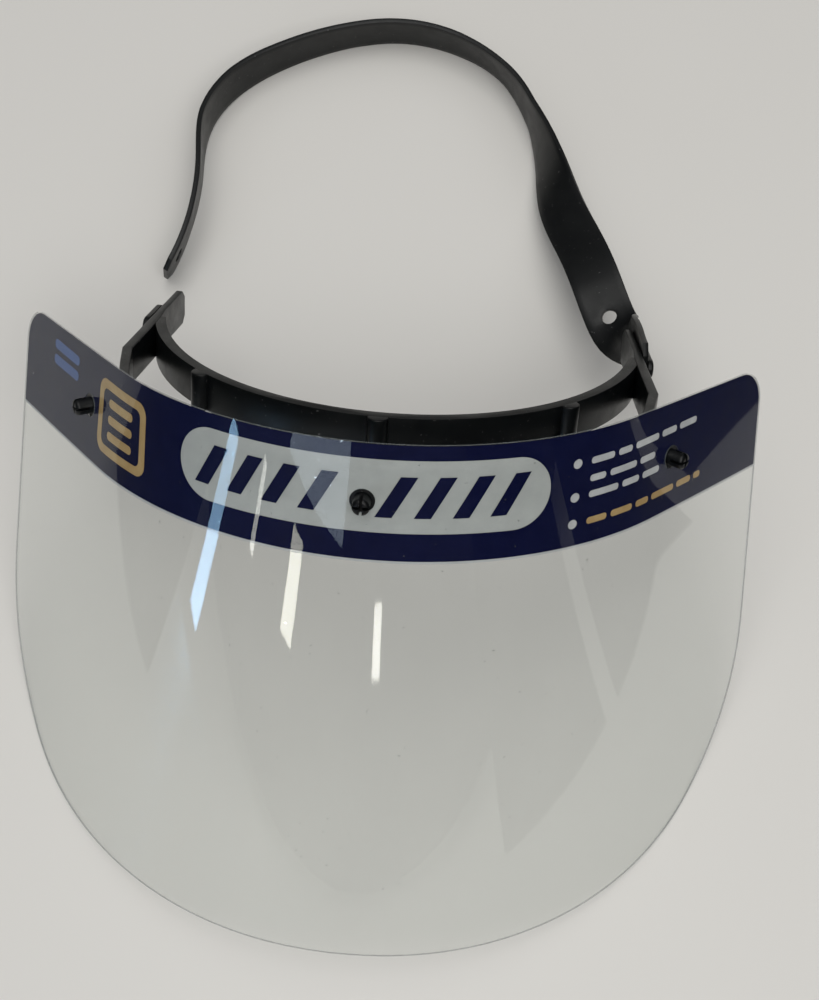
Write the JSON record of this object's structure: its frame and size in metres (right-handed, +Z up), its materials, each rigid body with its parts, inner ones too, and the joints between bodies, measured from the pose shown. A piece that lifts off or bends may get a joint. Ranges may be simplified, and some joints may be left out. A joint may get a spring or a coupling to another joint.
{
  "type": "face shield",
  "caption": "Clear bent visor on a moulded forehead frame with three pins, a printed header band and a flat head strap unhooked at one end.",
  "frame": {"origin": "on the table under the middle of the whole shield's box, lying as used on a table, front of the visor up", "axes": "+Z up from the table, +X to the wearer's right as seen from the chin side with the front up, -Y towards the chin edge, +Y towards the strap loop"},
  "size_m": [0.2452, 0.3642, 0.1442],
  "materials": {
    "clear_sheet": "clear gloss",
    "frame_black": "satin moulded",
    "strap_black": "satin moulded"
  },
  "bodies": {
    "shield": {"visor": "clear_sheet", "visor_bow_left": "frame_black", "visor_bow_right": "frame_black", "forehead_band": "frame_black", "band_ribs": "frame_black", "left_arm": "frame_black", "right_arm": "frame_black", "left_visor_pin": "frame_black", "middle_visor_pin": "frame_black", "right_visor_pin": "frame_black", "left_strap_stud": "frame_black", "right_strap_stud": "frame_black"},
    "strap": {"head_strap": "strap_black"}
  },
  "joints": [
    {"name": "strap_swing", "type": "hinge", "parent": "shield", "child": "strap", "pos_m": [0.08033, 0.01427, 0.05132], "axis": [0.9962, 0.0657, -0.0571], "range_deg": [-30, 50]}
  ]
}
